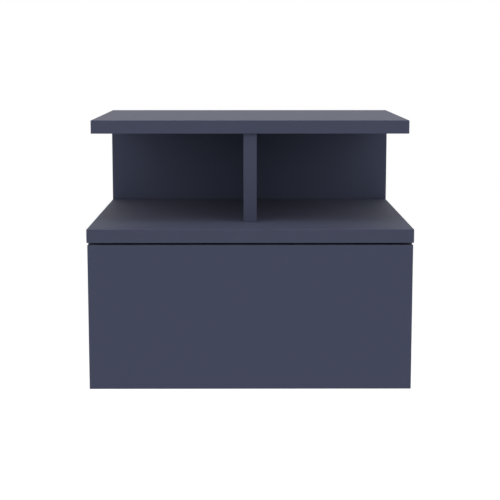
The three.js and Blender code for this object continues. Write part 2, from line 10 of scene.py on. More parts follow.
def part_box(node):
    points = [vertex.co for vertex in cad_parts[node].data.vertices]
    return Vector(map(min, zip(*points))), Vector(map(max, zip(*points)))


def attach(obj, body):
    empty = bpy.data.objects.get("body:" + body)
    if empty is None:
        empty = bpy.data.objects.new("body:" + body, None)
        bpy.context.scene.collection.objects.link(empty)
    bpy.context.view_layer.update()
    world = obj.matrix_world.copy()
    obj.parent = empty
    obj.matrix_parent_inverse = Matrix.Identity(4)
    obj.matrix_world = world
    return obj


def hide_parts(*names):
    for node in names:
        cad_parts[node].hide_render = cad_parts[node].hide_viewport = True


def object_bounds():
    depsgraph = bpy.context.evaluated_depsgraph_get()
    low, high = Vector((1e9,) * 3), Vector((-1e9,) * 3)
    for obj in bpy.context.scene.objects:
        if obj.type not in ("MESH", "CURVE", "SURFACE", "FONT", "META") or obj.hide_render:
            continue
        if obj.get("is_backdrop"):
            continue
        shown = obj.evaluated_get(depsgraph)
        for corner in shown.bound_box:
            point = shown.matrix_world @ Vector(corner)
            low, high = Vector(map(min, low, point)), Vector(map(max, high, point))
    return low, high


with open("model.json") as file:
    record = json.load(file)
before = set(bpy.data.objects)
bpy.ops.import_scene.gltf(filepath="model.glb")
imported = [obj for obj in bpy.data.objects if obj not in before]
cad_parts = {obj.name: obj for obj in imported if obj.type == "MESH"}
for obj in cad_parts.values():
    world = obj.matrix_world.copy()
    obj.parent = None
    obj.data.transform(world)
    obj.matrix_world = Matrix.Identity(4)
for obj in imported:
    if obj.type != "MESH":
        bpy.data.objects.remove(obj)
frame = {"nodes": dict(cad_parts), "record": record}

cadLow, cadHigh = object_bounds()        # the solids' box, before anything is added

bodyGroups = frame["record"]["behaviour"]["bodies"]
bodyOf = {node: body for body, nodes in bodyGroups.items() for node in nodes}
sideSigns = {"left": -1, "right": 1}
right = Vector((1, 0, 0))
rear = Vector((0, 1, 0))
front = -rear
up = Vector((0, 0, 1))
down = -up
fitPlay = 0.0003        # between a fitting and its hole
cutOverrun = 0.001        # how far a cutter runs past the face that it opens


def middle(node):
    low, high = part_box(node)
    return (low + high) / 2


def faceX(node, sign):        # where the node's face to the right (1) or to the left (-1) lies
    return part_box(node)[1 if sign > 0 else 0].x


def pieceName(node):        # leftBumper for left_bumper; a node of one word gets a second word
    first, *others = node.split("_")
    return first + "".join(word.capitalize() for word in others or ["board"])


# Finishes

satin = {        # the melamine's soft gloss, with a very slight warm sheen
    "Specular IOR Level": 0.48, "Sheen Weight": 0.025, "Sheen Roughness": 0.4,
    "Sheen Tint": (1.0, 0.9, 0.88, 1.0),
}
metal = {"Metallic": 1}
plainLook = {        # what a finish has where it names nothing else
    "patchDetail": 3, "patchRoughness": 0.55, "grainStretch": (1, 1, 1), "grainDetail": 2,
    "grainRoughness": 0.5, "grainRange": (0.3, 0.7), "reliefDepth": 0.0001,
}
finishes = {        # colours as a paint chart gives them, 0 to 255
    "melamineFace": {
        "colour": (43, 49, 73), "tint": (47, 53, 77), "patchScale": 7, "grainScale": 1300,
        "roughness": (0.6, 0.76), "relief": 0.35, "reliefDepth": 0.00012, "shader": satin,
    },
    "melamineEdge": {
        "colour": (43, 49, 72), "tint": (47, 53, 76), "patchScale": 30, "patchDetail": 2,
        "grainScale": 1000, "roughness": (0.6, 0.74), "relief": 0.2, "shader": satin,
    },
    "drawerFoil": {
        "colour": (66, 70, 84), "tint": (71, 75, 90), "patchScale": 12, "grainScale": 1100,
        "roughness": (0.5, 0.66), "relief": 0.3, "reliefDepth": 0.00012,
        "shader": {"Specular IOR Level": 0.4},
    },
    "paintedHardboard": {
        "colour": (76, 80, 93), "tint": (84, 88, 101), "patchScale": 40, "patchDetail": 5,
        "grainScale": 900, "roughness": (0.6, 0.78), "relief": 0.3, "reliefDepth": 0.00015,
        "shader": {"Specular IOR Level": 0.35},
    },
    "zincPlate": {
        "colour": (158, 163, 170), "tint": (180, 184, 189), "patchScale": 55, "patchDetail": 4,
        "grainScale": 240, "grainStretch": (9, 0.35, 9), "roughness": (0.28, 0.36),
        "relief": 0.05, "reliefDepth": 0.00005, "shader": metal,
    },
    "castZinc": {
        "colour": (132, 135, 140), "tint": (154, 157, 161), "patchScale": 160, "patchDetail": 5,
        "grainScale": 1500, "roughness": (0.38, 0.55), "relief": 0.35, "shader": metal,
    },
    "rolledStrip": {
        "colour": (134, 137, 142), "tint": (156, 159, 164), "patchScale": 70, "grainScale": 300,
        "grainStretch": (9, 0.35, 9), "roughness": (0.3, 0.44), "relief": 0.1, "reliefDepth": 0.00005,
        "shader": metal,
    },
    "polishedBall": {
        "colour": (196, 198, 201), "tint": (208, 210, 213), "patchScale": 400, "patchDetail": 2,
        "grainScale": 2400, "roughness": (0.1, 0.16), "relief": 0.02, "reliefDepth": 0.00002,
        "shader": metal,
    },
    "softRubber": {
        "colour": (34, 35, 39), "tint": (42, 43, 47), "patchScale": 180, "grainScale": 3000,
        "roughness": (0.7, 0.85), "relief": 0.2, "shader": {"Specular IOR Level": 0.3},
    },
}
chipboard = {
    "dark": (143, 112, 76), "middle": (186, 153, 112), "light": (213, 186, 147), "particleScale": 850,
    "relief": 0.5, "reliefDepth": 0.0003, "shader": {"Roughness": 0.9, "Specular IOR Level": 0.2},
}
beech = {
    "dark": (190, 150, 106), "light": (222, 190, 147), "ringScale": 260, "ringWaver": 3, "ringDetail": 3,
    "ringDetailScale": 1.5, "fleckScale": 900, "relief": 0.3, "reliefDepth": 0.0001,
    "shader": {"Roughness": 0.7, "Specular IOR Level": 0.25},
}


def paint(red, green, blue):        # a paint chart's colour, in the light levels that a shader takes
    levels = [level / 255 for level in (red, green, blue)]
    linear = [level / 12.92 if level <= 0.04045 else ((level + 0.055) / 1.055) ** 2.4 for level in levels]
    return (*linear, 1)


def fill(node, sockets):        # gives sockets values, or links them to other sockets
    for label, value in sockets.items():
        if isinstance(value, bpy.types.NodeSocket):
            node.id_data.links.new(value, node.inputs[label])
        else:
            node.inputs[label].default_value = value
    return node


def nodeAdder(tree):
    def add(kind, sockets=None, **settings):
        node = tree.nodes.new(kind)
        for label, value in settings.items():
            setattr(node, label, value)
        return fill(node, sockets or {})
    return add


def newMaterial(name, sockets):
    material = bpy.data.materials.new(name)
    material.use_nodes = True
    tree = material.node_tree
    return material, nodeAdder(tree), fill(tree.nodes["Principled BSDF"], sockets)


def mixed(add, factor, first, second):        # 6 and 7 are the node's two colour sockets
    sockets = {"Factor": factor, 6: paint(*first), 7: paint(*second)}
    return add("ShaderNodeMix", sockets, data_type="RGBA").outputs[2]


def raised(add, height, look):
    sockets = {"Height": height, "Strength": look["relief"], "Distance": look["reliefDepth"]}
    return add("ShaderNodeBump", sockets).outputs["Normal"]


def noise(add, place, look, word):        # as the look's values say that begin with the word
    return add("ShaderNodeTexNoise", {
        "Vector": place, "Scale": look[word + "Scale"], "Detail": look[word + "Detail"],
        "Roughness": look[word + "Roughness"],
    }).outputs["Fac"]


def surfaceFinish(name, choices):        # soft patches of colour under a fine grain, which is felt too
    look = {**plainLook, **choices}
    material, add, shader = newMaterial(name, look["shader"])
    place = add("ShaderNodeTexCoord").outputs["Object"]
    patches = noise(add, place, look, "patch")
    stretched = add("ShaderNodeMapping", {"Vector": place, "Scale": look["grainStretch"]})
    grain = noise(add, stretched.outputs["Vector"], look, "grain")
    matt = add("ShaderNodeMapRange", {
        "Value": grain, "From Min": look["grainRange"][0], "From Max": look["grainRange"][1],
        "To Min": look["roughness"][0], "To Max": look["roughness"][1],
    })
    colour = mixed(add, patches, look["colour"], look["tint"])
    fill(shader, {
        "Base Color": colour, "Roughness": matt.outputs["Result"], "Normal": raised(add, grain, look),
    })
    return material


def chipboardFinish():        # pressed particles, seen where a hole is drilled
    material, add, shader = newMaterial("chipboardCore", chipboard["shader"])
    place = add("ShaderNodeTexCoord").outputs["Object"]
    particles = add("ShaderNodeTexVoronoi", {"Vector": place, "Scale": chipboard["particleScale"]})
    ramp = add("ShaderNodeValToRGB", {"Fac": particles.outputs["Color"]})
    ramp.color_ramp.elements[0].color = paint(*chipboard["dark"])
    ramp.color_ramp.elements[1].color = paint(*chipboard["light"])
    ramp.color_ramp.elements.new(0.5).color = paint(*chipboard["middle"])
    relief = raised(add, particles.outputs["Distance"], chipboard)
    fill(shader, {"Base Color": ramp.outputs["Color"], "Normal": relief})
    return material


def beechFinish():        # straight pale grain with the short dark flecks of beech
    material, add, shader = newMaterial("rawBeech", beech["shader"])
    place = add("ShaderNodeTexCoord").outputs["Object"]
    rings = add("ShaderNodeTexWave", {
        "Vector": place, "Scale": beech["ringScale"], "Distortion": beech["ringWaver"],
        "Detail": beech["ringDetail"], "Detail Scale": beech["ringDetailScale"],
    }).outputs["Fac"]
    flecks = add("ShaderNodeTexVoronoi", {"Vector": place, "Scale": beech["fleckScale"]})
    worn = add("ShaderNodeMath", {0: rings, 1: flecks.outputs["Distance"]}, operation="MULTIPLY")
    colour = mixed(add, worn.outputs["Value"], beech["light"], beech["dark"])
    fill(shader, {"Base Color": colour, "Normal": raised(add, rings, beech)})
    return material


surfaces = {name: surfaceFinish(name, look) for name, look in finishes.items()}
surfaces["chipboardCore"] = chipboardFinish()
surfaces["rawBeech"] = beechFinish()
print("finishes made:", len(surfaces))


# Forms and pieces

def addObject(name, mesh, materials):
    thing = bpy.data.objects.new(name, mesh)
    bpy.context.scene.collection.objects.link(thing)
    for material in materials:
        mesh.materials.append(material)
    return thing


def shaped(name, shape, materials):        # turns a bmesh into an object with its faces outwards
    bmesh.ops.recalc_face_normals(shape, faces=shape.faces)
    mesh = bpy.data.meshes.new(name)
    shape.to_mesh(mesh)
    shape.free()
    return addObject(name, mesh, materials)


def smoothCorners(mesh, degrees=38):        # round faces are smooth, and real corners stay sharp
    mesh.shade_smooth()
    mesh.set_sharp_from_angle(angle=math.radians(degrees))


def evenNormals(thing):        # keeps flat faces flat beside their rounded edges
    even = thing.modifiers.new("evenNormals", "WEIGHTED_NORMAL")
    even.keep_sharp = True


def bakeModifiers(thing):        # what the modifiers give becomes the object's plain mesh
    bpy.context.view_layer.update()
    evaluated = thing.evaluated_get(bpy.context.evaluated_depsgraph_get())
    mesh = bpy.data.meshes.new_from_object(evaluated)
    mesh.name = thing.name
    thing.modifiers.clear()
    thing.data = mesh


def handOver(thing, slot, *nodes, body=None):        # stands for its nodes and rides on their body
    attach(thing, body or bodyOf[nodes[0]])
    if nodes:
        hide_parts(*nodes)


def addBlock(shape, low, high):
    place = Matrix.Translation((low + high) / 2) @ Matrix.Diagonal((*(high - low), 1))
    bmesh.ops.create_cube(shape, size=1, matrix=place)


def addStack(shape, outlines):        # a closed solid through a stack of outlines
    rings = [[shape.verts.new(point) for point in outline] for outline in outlines]
    for first, second in zip(rings, rings[1:]):
        for index in range(len(first)):
            after = (index + 1) % len(first)
            shape.faces.new((first[index], first[after], second[after], second[index]))
    shape.faces.new(rings[0])
    shape.faces.new(rings[-1])


def addPrism(shape, outline, start, along):        # an outline of points, run along a vector
    near = [start + point for point in outline]
    addStack(shape, [near, [point + along for point in near]])


def arcPoints(centre, first, second, radius, fromAngle, toAngle, steps=16):
    angles = [fromAngle + (toAngle - fromAngle) * step / steps for step in range(steps + 1)]
    return [centre + (first * math.cos(angle) + second * math.sin(angle)) * radius for angle in angles]


def addTurned(shape, start, way, profile, sides=40):        # profile is (distance along, radius) pairs
    turn = up.rotation_difference(way).to_matrix()
    first, second = turn @ right, turn @ rear
    lastAngle = 2 * math.pi * (sides - 1) / sides
    addStack(shape, [
        arcPoints(start + way * distance, first, second, radius, 0, lastAngle, sides - 1)
        for distance, radius in profile
    ])


def slotOutline(low, high, across, radius):        # a slot with round ends, between two centres
    along = (high - low).normalized()
    return [
        *arcPoints(high, across, along, radius, 0, math.pi),
        *arcPoints(low, across, along, radius, math.pi, 2 * math.pi),
    ]


def bentOutline(corners, steps=6):        # corners are (x, z, bend radius), in the wall plane
    places = [Vector((x, 0, z)) for x, z, _ in corners]
    points = []
    for index, (_, _, radius) in enumerate(corners):
        corner, before, after = places[index], places[index - 1], places[(index + 1) % len(places)]
        if radius == 0:
            points.append(corner)
            continue
        start = corner + (before - corner).normalized() * radius
        end = corner + (after - corner).normalized() * radius
        centre = start + end - corner
        points += arcPoints(centre, start - centre, end - centre, 1, 0, math.pi / 2, steps)
    return points


def combine(thing, makers, surface, operation="DIFFERENCE"):        # cuts forms out, or joins them on
    if not makers:
        return
    shape = bmesh.new()
    for maker in makers:
        maker(shape)
    other = shaped("other", shape, [surface])
    step = thing.modifiers.new("combine", "BOOLEAN")
    step.operation = operation
    step.solver = "EXACT"
    step.object = other
    step.material_mode = "TRANSFER"
    bakeModifiers(thing)
    bpy.data.objects.remove(other)


# Geometry Nodes

socketKinds = {float: "Float", int: "Int", tuple: "Vector", bpy.types.Material: "Material"}


class Tree:        # a tree with named inputs, and short words for its nodes
    def __init__(self, name, values):        # one input for each value, of the value's own kind
        self.group = bpy.data.node_groups.new(name, "GeometryNodeTree")
        self.addNode = nodeAdder(self.group)
        newSocket = self.group.interface.new_socket
        for way in ("INPUT", "OUTPUT"):
            newSocket("Geometry", in_out=way, socket_type="NodeSocketGeometry")
        for label, value in values.items():
            newSocket(label, in_out="INPUT", socket_type="NodeSocket" + socketKinds[type(value)])
        self.given = self.addNode("NodeGroupInput").outputs

    def add(self, kind, sockets=None, **settings):        # a text that names an input stands for it
        chosen = {
            label: self.given.get(value, value) if isinstance(value, str) else value
            for label, value in (sockets or {}).items()
        }
        return self.addNode(kind, chosen, **settings)

    def end(self, geometry):
        self.add("NodeGroupOutput", {"Geometry": geometry})
        return self.group

    def maths(self, operation, first, second=0.0):
        return self.add("ShaderNodeMath", {0: first, 1: second}, operation=operation).outputs[0]

    def plus(self, first, second):
        return self.maths("ADD", first, second)

    def less(self, first, second):
        return self.maths("SUBTRACT", first, second)

    def times(self, first, second):
        return self.maths("MULTIPLY", first, second)

    def vector(self, x=0.0, y=0.0, z=0.0):
        return self.add("ShaderNodeCombineXYZ", {0: x, 1: y, 2: z}).outputs[0]

    def solid(self, kind, sockets):        # its outputs: Mesh, perhaps Top and Bottom
        return self.add("GeometryNodeMesh" + kind, sockets).outputs

    def rod(self, sides, radius, depth, segments=1):
        return self.solid("Cylinder", {
            "Vertices": sides, "Radius": radius, "Depth": depth, "Side Segments": segments,
        })

    def block(self, x, y, z):
        return self.solid("Cube", {"Size": self.vector(x, y, z)})["Mesh"]

    def moved(self, geometry, place, turn=(0, 0, 0)):
        sockets = {"Geometry": geometry, "Translation": place, "Rotation": turn}
        return self.add("GeometryNodeTransform", sockets).outputs[0]

    def joined(self, *parts):
        node = self.add("GeometryNodeJoinGeometry")
        for part in parts:
            fill(node, {0: part})
        return node.outputs[0]

    def cross(self, long, narrow, deep, height):        # two crossed bars, to cut a screwdriver's recess
        bars = [self.block(long, narrow, deep), self.block(narrow, long, deep)]
        return self.moved(self.joined(*bars), self.vector(z=height))

    def cut(self, solid, cutters):
        sockets = {"Mesh 1": solid, "Mesh 2": cutters, "Self Intersection": True}
        node = self.add("GeometryNodeMeshBoolean", sockets, operation="DIFFERENCE", solver="EXACT")
        return node.outputs[0]

    def chamfered(self, solid, selection, rise, share):        # raises the chosen faces and draws them in
        top = self.add("GeometryNodeExtrudeMesh", {
            "Mesh": solid, "Selection": selection, "Offset Scale": rise, "Individual": False,
        }).outputs
        drawn = self.add("GeometryNodeScaleElements", {
            "Geometry": top["Mesh"], "Selection": top["Top"], "Scale": share,
        })
        return drawn.outputs[0], top["Top"]

    def position(self):
        place = self.add("GeometryNodeInputPosition").outputs[0]
        return self.add("ShaderNodeSeparateXYZ", {0: place}).outputs

    def reshaped(self, solid, x, y, z):
        sockets = {"Geometry": solid, "Position": self.vector(x, y, z)}
        return self.add("GeometryNodeSetPosition", sockets).outputs[0]

    def threaded(self, solid, axis, pitch, depth, start):        # ridges round an axis, past one place
        place = self.position()
        along = place[axis]
        ridge = self.maths("DIVIDE", self.maths("PINGPONG", along, self.times(pitch, 0.5)), pitch)
        beyond = self.maths("GREATER_THAN", self.maths("ABSOLUTE", along), start)
        shrink = self.less(1.0, self.times(self.times(ridge, depth), beyond))
        parts = [along if index == axis else self.times(place[index], shrink) for index in range(3)]
        return self.reshaped(solid, *parts)

    def repeated(self, points, shape, turn=(0, 0, 0)):
        sockets = {"Points": points, "Instance": shape, "Rotation": turn}
        placed = self.add("GeometryNodeInstanceOnPoints", sockets)
        return self.add("GeometryNodeRealizeInstances", {"Geometry": placed.outputs[0]}).outputs[0]

    def finished(self, geometry, finish):
        return self.add("GeometryNodeSetMaterial", {"Geometry": geometry, "Material": finish}).outputs[0]

    def placed(self, shape, finish):        # a shape at each given point, turned as its directions say
        ways = [
            self.add("GeometryNodeInputNamedAttribute", {"Name": name}, data_type="FLOAT_VECTOR")
            for name in ("facing", "reaching")
        ]
        turn = self.add("FunctionNodeAxesToRotation", {
            "Primary Axis": ways[0].outputs["Attribute"], "Secondary Axis": ways[1].outputs["Attribute"],
        }, primary_axis="Z", secondary_axis="X")
        return self.finished(self.repeated("Geometry", shape, turn.outputs["Rotation"]), finish)


def pointMesh(name, places):        # places are (point, facing, reaching)
    mesh = bpy.data.meshes.new(name)
    mesh.from_pydata([point for point, _, _ in places], [], [])
    for index, label in enumerate(("facing", "reaching"), start=1):
        values = [part for place in places for part in place[index]]
        mesh.attributes.new(label, "FLOAT_VECTOR", "POINT").data.foreach_set("vector", values)
    return mesh


def grow(name, mesh, group, values):        # runs a tree on a mesh and keeps the plain result
    thing = addObject(name, mesh, [])
    growth = thing.modifiers.new("growth", "NODES")
    growth.node_group = group
    for item in group.interface.items_tree:
        if item.in_out == "INPUT" and item.name in values:
            growth[item.identifier] = values[item.name]
    bakeModifiers(thing)
    smoothCorners(thing.data)
    return thing


# Where the fittings are

carcassCam = {
    "Cam Radius": 0.0075, "Cam Depth": 0.013, "Half Board": 0.009, "Sink": 0.00025,
    "Bolt Radius": 0.0035, "Bolt Reach": 0.035,
}
drawerCam = {
    "Cam Radius": 0.006, "Cam Depth": 0.00975, "Half Board": 0.006, "Sink": 0.00025,
    "Bolt Radius": 0.00275, "Bolt Reach": 0.035,
}
connectingScrew = "divider_connecting_screw"
connectingHole = {"radius": 0.0036, "sinkDepth": 0.00425, "mouthRadius": 0.0056}
dowelSides = 10        # the solid's dowels have ten flat sides


def camCentre(node, size, facing, reaching):        # where the cam's axis and its bolt's axis cross
    low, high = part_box(node)
    centre = middle(node)
    for way, distance in ((facing, size["Half Board"] - size["Sink"]), (reaching, size["Bolt Reach"])):
        axis = max(range(3), key=lambda index: abs(way[index]))
        end = high[axis] if way[axis] > 0 else low[axis]
        centre[axis] = end - way[axis] * distance
    return centre


def camRows():        # node, size, centre, way that it faces, way that its bolt goes
    rows = []
    for side, sign in sideSigns.items():
        outward = right * sign
        ways = {
            "top_board_cam": (rear, up), "back_to_shelf_cam": (rear, down),
            "front_shelf_cam": (-outward, up), "rear_shelf_cam": (-outward, up),
            "front_bottom_cam": (down, outward), "rear_bottom_cam": (down, outward),
            "lower_back_cam": (rear, outward),
        }
        rows += [(f"{side}_{word}", carcassCam, *way) for word, way in ways.items()]
        rows += [(f"{side}_{word}_drawer_cam", drawerCam, outward, front) for word in ("upper", "lower")]
    return [(node, size, camCentre(node, size, *ways), *ways) for node, size, *ways in rows]


cams = camRows()
dowelNodes = [node for node in frame["nodes"] if node.endswith("_dowel")]


def dowelEnds(node):
    low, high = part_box(node)
    axis = max(range(3), key=lambda index: high[index] - low[index])
    reach = Vector([(high[axis] - low[axis]) / 2 if index == axis else 0 for index in range(3)])
    return middle(node) - reach, middle(node) + reach


def bore(start, end, radius):        # a plain hole, as addTurned takes it
    profile = [(0, radius), ((end - start).length, radius)]
    return {"start": start, "way": (end - start).normalized(), "profile": profile}


def drillings():        # every hole in the boards: wide ones, narrow ones
    wide, narrow = [], []
    for _, size, centre, facing, reaching in cams:
        base = centre + facing * (size["Half Board"] - size["Cam Depth"] - fitPlay)
        mouth = centre + facing * (size["Half Board"] + cutOverrun)
        wide.append(bore(base, mouth, size["Cam Radius"] + fitPlay))
        tip = centre + reaching * (size["Bolt Reach"] + fitPlay)
        narrow.append(bore(centre, tip, size["Bolt Radius"] + fitPlay))
    for node in dowelNodes:
        start, end = dowelEnds(node)
        low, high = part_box(node)
        radius = min(high - low) / 2 / math.cos(math.pi / dowelSides) + fitPlay
        play = (end - start).normalized() * fitPlay
        narrow.append(bore(start - play, end + play, radius))
    tip = middle(connectingScrew)
    tip.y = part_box(connectingScrew)[0].y - fitPlay
    narrow.append({"start": tip, "way": rear, "profile": [
        (0, connectingHole["radius"]), (-connectingHole["sinkDepth"] - tip.y, connectingHole["radius"]),
        (cutOverrun - tip.y, connectingHole["mouthRadius"]),
    ]})
    return wide, narrow


wideHoles, narrowHoles = drillings()


def holesIn(low, high, holes, least=0.00001):        # those that enter a board by more than the least
    found = []
    for hole in holes:
        start, way, profile = hole.values()
        end = start + way * profile[-1][0]
        radius = max(radius for _, radius in profile)
        spread = Vector([radius * (1 - abs(part)) - least for part in way])
        lowest = Vector([*map(min, start, end)]) - spread
        highest = Vector([*map(max, start, end)]) + spread
        if all(low[axis] < highest[axis] and lowest[axis] < high[axis] for axis in range(3)):
            found.append(partial(addTurned, **hole))
    return found


# Boards

boardEdges = {"radius": 0.0006, "steps": 3, "band": 0.001}
thinEdges = {"radius": 0.0003, "steps": 2, "band": 0.0006}
boardKinds = (        # finishes: the facing, and the edge band where it differs
    {
        "slot": "melamine_board", "edges": boardEdges, "finishes": ("melamineFace", "melamineEdge"),
        "nodes": (
            "top_board", "upper_back_panel", "divider", "shelf_board", "left_side_panel",
            "right_side_panel", "bottom_panel", "lower_back_panel", "drawer_front",
        ),
    },
    {
        "slot": "drawer_board", "edges": thinEdges, "finishes": ("drawerFoil",),
        "nodes": ("drawer_left_side", "drawer_right_side", "drawer_back"),
    },
    {
        "slot": "hardboard", "edges": thinEdges, "finishes": ("paintedHardboard",),
        "nodes": ("drawer_bottom",),
    },
)
drawerGroove = {
    "nodes": ("drawer_front", "drawer_left_side", "drawer_right_side"), "play": 0.00025,
    "endPlay": 0.0005,
}
hangers = {
    "corner": 0.004, "bedPlay": 0.0003, "entryRadius": 0.005, "slotRadius": 0.0026, "keyholeDrop": 0.012,
    "pocketRadius": 0.0065, "pocketDepth": 0.009, "screwInset": 0.007, "screwHole": 0.0023,
    "countersink": 0.0039, "edgeEase": 0.0003,
}


def boardShape(low, high, edges, bandIndex):        # facings with a band round them, edges eased
    shape = bmesh.new()
    addBlock(shape, low, high)
    bmesh.ops.bevel(
        shape, geom=list(shape.edges), offset=edges["radius"], segments=edges["steps"], profile=0.5,
        affect="EDGES", clamp_overlap=True,
    )
    for face in shape.faces:
        face.material_index = bandIndex
    facings = sorted(shape.faces, key=lambda face: face.calc_area())[-2:]
    bmesh.ops.inset_individual(shape, faces=facings, thickness=edges["band"] - edges["radius"])
    for face in facings:
        face.material_index = 0
    return shape


def plateOutline(side, margin=0):        # the hanger plate's rounded outline in the wall plane
    low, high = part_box(f"{side}_hanger_plate")
    lowX, lowZ, highX, highZ = low.x - margin, low.z - margin, high.x + margin, high.z + margin
    corners = ((lowX, lowZ), (highX, lowZ), (highX, highZ), (lowX, highZ))
    return bentOutline([(x, z, hangers["corner"] + margin) for x, z in corners])


def keyholeCentres(side):        # the middles of its wide entry and of its slot's top
    slotTop = right * middle(f"{side}_hanger_plate").x
    return slotTop + down * hangers["keyholeDrop"], slotTop


def hangerRecesses():        # the plate's bed, and behind it the space for the wall screw's head
    beds, pockets = [], []
    mouth = rear * cutOverrun
    for side in sideSigns:
        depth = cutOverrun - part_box(f"{side}_hanger_plate")[0].y
        pocket = slotOutline(*keyholeCentres(side), right, hangers["pocketRadius"])
        bed = plateOutline(side, hangers["bedPlay"])
        beds.append(partial(addPrism, outline=bed, start=mouth, along=front * depth))
        inner = front * (depth + hangers["pocketDepth"])
        pockets.append(partial(addPrism, outline=pocket, start=mouth, along=inner))
    return [beds, pockets]


def grooveCutter(node):        # the groove that holds the drawer's bottom
    low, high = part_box(node)
    sheetLow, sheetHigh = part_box("drawer_bottom")
    play = drawerGroove["endPlay"]
    nearY = sheetLow.y - play if node == "drawer_front" else low.y - cutOverrun
    start = Vector((sheetLow.x - play, nearY, sheetLow.z))
    end = Vector((sheetHigh.x + play, high.y + cutOverrun, sheetHigh.z + drawerGroove["play"]))
    return partial(addBlock, low=start, high=end)


def makeBoard(node, kind):
    low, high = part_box(node)
    looks = [surfaces[name] for name in kind["finishes"]]
    piece = shaped(pieceName(node), boardShape(low, high, kind["edges"], len(looks) - 1), looks)
    passes = [holesIn(low, high, wideHoles), holesIn(low, high, narrowHoles)]
    if node == "upper_back_panel":
        passes += hangerRecesses()
    if node in drawerGroove["nodes"]:
        passes.append([grooveCutter(node)])
    for makers in passes:
        combine(piece, makers, surfaces["chipboardCore"])
    smoothCorners(piece.data)
    evenNormals(piece)
    handOver(piece, kind["slot"], node)


for kind in boardKinds:
    for node in kind["nodes"]:
        makeBoard(node, kind)
print("boards made:", sum(len(kind["nodes"]) for kind in boardKinds))


# Cam fittings

camDetail = {        # lengths in metres, and shares of the cam's or the bolt's size
    "Rim Chamfer": 0.0004, "Rim Share": 0.94, "Recess Length Share": 0.62, "Recess Width Share": 0.14,
    "Recess Depth": 0.0022, "Arrow Radius Share": 0.14, "Arrow Depth": 0.0008, "Arrow Place Share": 0.77,
    "Mouth Place Share": 0.75, "Neck End Share": 0.6, "Neck Middle Share": 0.6, "Neck Width Share": 0.5,
    "Ball Share": 0.85, "Thread Pitch": 0.0022, "Thread Depth": 0.42, "Plain Length": 0.0135,
    "Cam Finish": surfaces["castZinc"], "Bolt Finish": surfaces["zincPlate"],
}


def camTree():        # the cam's axis is Z, and its bolt goes along X; they cross at the origin
    tree = Tree("camFitting", {**carcassCam, **camDetail})
    width, boltWidth = tree.times("Cam Radius", 2.0), tree.times("Bolt Radius", 2.0)
    top = tree.less("Half Board", "Sink")
    base = tree.less("Half Board", "Cam Depth")
    height = tree.less(tree.less(top, "Rim Chamfer"), base)
    disc = tree.rod(sides=48, radius="Cam Radius", depth=height)
    stood = tree.moved(disc["Mesh"], tree.vector(z=tree.plus(base, tree.times(height, 0.5))))
    housing, _ = tree.chamfered(stood, disc["Top"], "Rim Chamfer", "Rim Share")
    recess = tree.cross(
        tree.times(width, "Recess Length Share"), tree.times(width, "Recess Width Share"),
        tree.times("Recess Depth", 2.0), top,
    )
    arrowRadius = tree.times("Cam Radius", "Arrow Radius Share")
    arrow = tree.rod(sides=3, radius=arrowRadius, depth="Arrow Depth")["Mesh"]
    arrowPlace = tree.vector(x=tree.times("Cam Radius", "Arrow Place Share"), z=top)
    mouth = tree.block("Cam Radius", boltWidth, boltWidth)
    mouthPlace = tree.vector(x=tree.times("Cam Radius", "Mouth Place Share"))
    cutters = tree.joined(recess, tree.moved(arrow, arrowPlace), tree.moved(mouth, mouthPlace))
    cam = tree.cut(housing, cutters)

    neckEnd = tree.times("Cam Radius", "Neck End Share")
    shankLength = tree.less("Bolt Reach", neckEnd)
    shankPlace = tree.vector(x=tree.plus(neckEnd, tree.times(shankLength, 0.5)))
    quarterTurn = (0, math.pi / 2, 0)
    shank = tree.rod(sides=24, radius="Bolt Radius", depth=shankLength, segments=96)["Mesh"]
    laid = tree.moved(shank, shankPlace, quarterTurn)
    ridged = tree.threaded(laid, 0, "Thread Pitch", "Thread Depth", "Plain Length")
    neckRadius = tree.times("Bolt Radius", "Neck Width Share")
    neck = tree.rod(sides=20, radius=neckRadius, depth=neckEnd)["Mesh"]
    neckPlace = tree.vector(x=tree.times(neckEnd, "Neck Middle Share"))
    ball = tree.solid("UVSphere", {
        "Segments": 20, "Rings": 12, "Radius": tree.times("Bolt Radius", "Ball Share"),
    })["Mesh"]
    bolt = tree.joined(ridged, tree.moved(neck, neckPlace, quarterTurn), ball)
    return tree.end(tree.joined(tree.placed(cam, "Cam Finish"), tree.placed(bolt, "Bolt Finish")))


camGroup = camTree()
for name, size in (("cabinetCams", carcassCam), ("drawerCams", drawerCam)):
    chosen = [row for row in cams if row[1] is size]
    points = pointMesh(name, [row[2:] for row in chosen])
    piece = grow(name, points, camGroup, {**size, **camDetail})
    handOver(piece, "cam_zinc", *[row[0] for row in chosen])
print("cam fittings made:", len(cams))


# Runners

rails = {
    "wall": 0.00125, "bend": 0.0005, "lip": 0.003, "screwHole": 0.00225, "accessHole": 0.004,
    "stopReach": 0.004, "stopBend": 0.001, "slotHalfLength": 0.004, "slotHalfWidth": 0.0016,
    "slotShares": (0.23, 0.74), "screwShares": (0.12, 0.5, 0.88), "holeSides": 32,
}
railKinds = {        # the drawer's rail has no lips and no stop, and its web stands against the drawer
    "cabinet_rail": {"hole": "screwHole", "lip": True, "stopHalf": 0.005},
    "middle_rail": {"hole": "accessHole", "lip": True, "stopHalf": 0.0122},
    "drawer_rail": {"hole": "screwHole", "lip": False, "stopHalf": 0},
}


def runPoint(side, x, share):        # a place on the runner's axis, as a share of it from the rear end
    low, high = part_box(f"{side}_cabinet_rail")
    return Vector((x, high.y - share * (high.y - low.y), (low.z + high.z) / 2))


